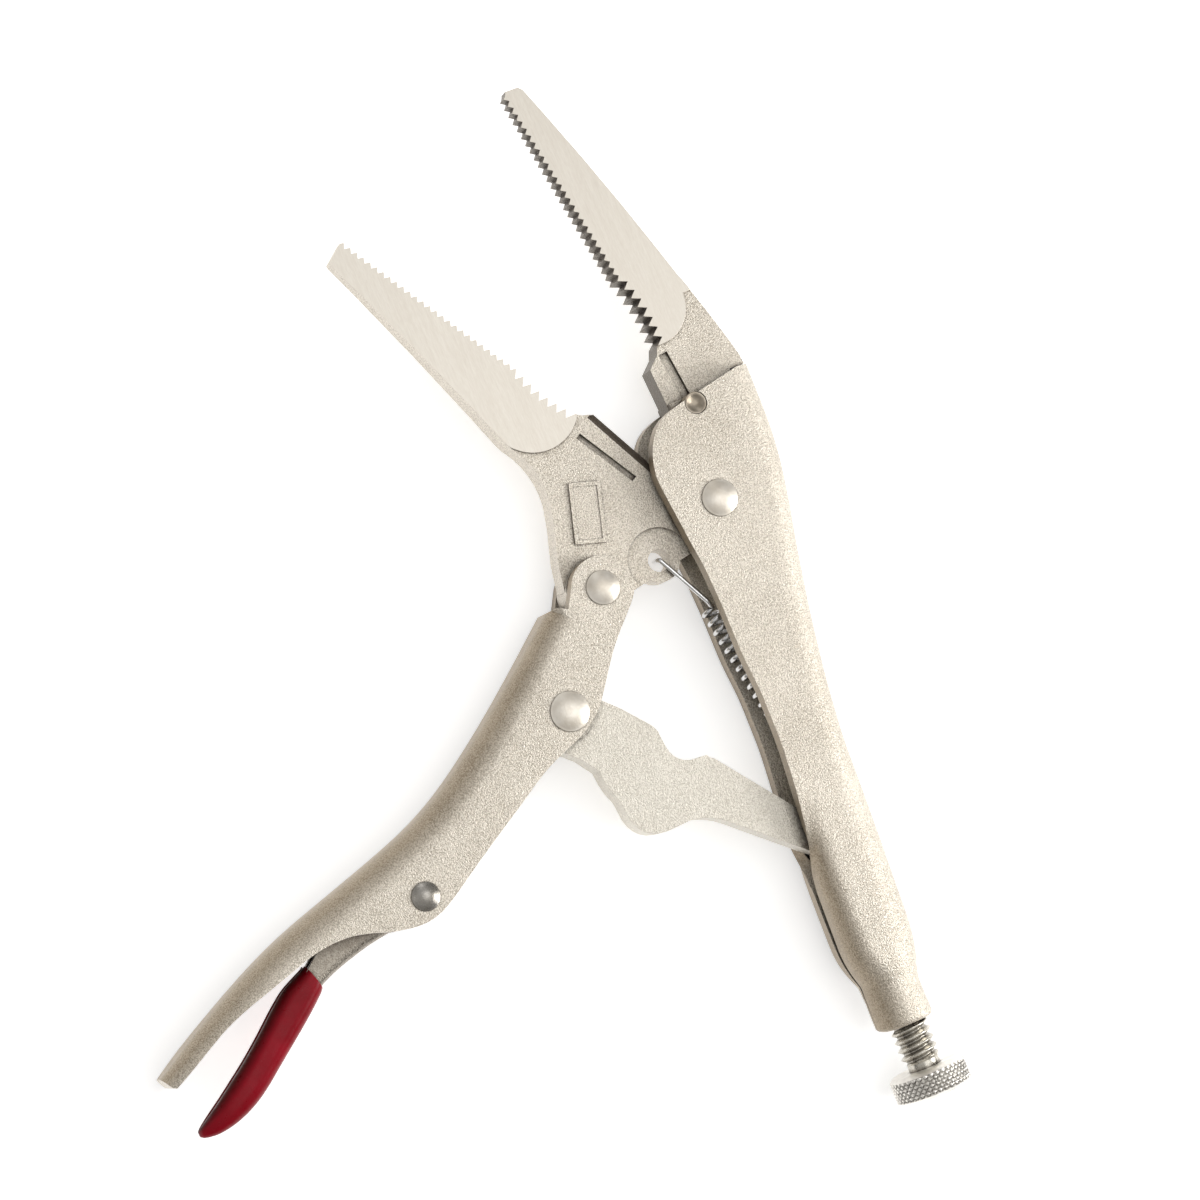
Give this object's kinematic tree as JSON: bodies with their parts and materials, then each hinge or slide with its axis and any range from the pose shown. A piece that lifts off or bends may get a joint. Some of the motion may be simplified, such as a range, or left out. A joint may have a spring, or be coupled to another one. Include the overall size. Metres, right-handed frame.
{
  "type": "locking pliers",
  "caption": "Long-nose locking pliers with sprung jaws, toggle linkage, release lever with a dipped grip and a knurled adjusting screw.",
  "frame": {"origin": "bottom centre of the bounding box of the tool lying on its side with the jaws sprung open", "axes": "+X along the adjusting screw towards the jaws, +Y towards the moving lever, +Z along the rivets"},
  "size_m": [0.1742, 0.1291, 0.0145],
  "materials": {
    "fixed_handle": "nickel-plated pressed steel, fine shot-blast grain, satin",
    "upper_jaw": "nickel-plated forged steel with a smooth ground cheek",
    "upper_jaw_rivet": "nickel-plated steel, pressed in flush",
    "lower_jaw": "nickel-plated forged steel with a smooth ground cheek",
    "jaw_pivot_rivet": "nickel-plated steel rivet",
    "lever_handle": "nickel-plated pressed steel, fine shot-blast grain, satin",
    "lever_pivot_rivet": "nickel-plated steel rivet",
    "toggle_link": "nickel-plated blanked steel, fine shot-blast grain",
    "link_pivot_rivet": "nickel-plated steel rivet",
    "release_lever": "nickel-plated pressed steel, satin",
    "release_grip": "dipped vinyl, smooth and glossy",
    "release_pivot_rivet": "darker polished steel",
    "tension_spring": "bright zinc-plated spring wire",
    "adjusting_screw": "nickel-plated, rolled thread",
    "screw_head": "nickel-plated, diamond knurl"
  },
  "bodies": {
    "fixed_side": {"fixed_handle": "fixed_handle", "upper_jaw": "upper_jaw", "upper_jaw_rivet": "upper_jaw_rivet", "jaw_pivot_rivet": "jaw_pivot_rivet", "tension_spring": "tension_spring"},
    "moving_jaw": {"lower_jaw": "lower_jaw"},
    "lever": {"lever_handle": "lever_handle", "lever_pivot_rivet": "lever_pivot_rivet", "link_pivot_rivet": "link_pivot_rivet", "release_pivot_rivet": "release_pivot_rivet"},
    "link": {"toggle_link": "toggle_link"},
    "release": {"release_lever": "release_lever", "release_grip": "release_grip"},
    "screw": {"adjusting_screw": "adjusting_screw"},
    "screw_head": {"screw_head": "screw_head"}
  },
  "joints": [
    {"name": "jaw_swing", "type": "hinge", "parent": "fixed_side", "child": "moving_jaw", "pos_m": [0.0138, -0.0511, 0.00725], "axis": [0, 0, -1], "range_deg": [0, 28], "stiffness_Nm_per_rad": 0.05, "springref_deg": -11.46, "deforming": ["tension_spring"]},
    {"name": "lever_swing", "type": "hinge", "parent": "moving_jaw", "child": "lever", "pos_m": [0.0074, -0.0276, 0.00725], "axis": [0, 0, 1], "range_deg": [0, 76]},
    {"name": "link_swing", "type": "hinge", "parent": "lever", "child": "link", "pos_m": [-0.0087, -0.0151, 0.00725], "axis": [0, 0, -1], "range_deg": [0, 67]},
    {"name": "release_press", "type": "hinge", "parent": "lever", "child": "release", "pos_m": [-0.0267, 0.0172, 0.00725], "axis": [0, 0, -1], "range_deg": [0, 6]},
    {"name": "screw_travel", "type": "slide", "parent": "fixed_side", "child": "screw", "axis": [-1, 0, 0], "range_m": [0, 0.01]},
    {"name": "head_turn", "type": "hinge", "parent": "screw", "child": "screw_head", "pos_m": [-0.08485, -0.0491, 0.00725], "axis": [-1, 0, 0], "range_deg": [0, 2572.4]}
  ],
  "couplings": [
    {"joint": "lever_swing", "follows": "jaw_swing", "ratio": 2.7143},
    {"joint": "link_swing", "follows": "jaw_swing", "ratio": 2.3929},
    {"joint": "head_turn", "follows": "screw_travel", "rad_per_m": 4488}
  ]
}
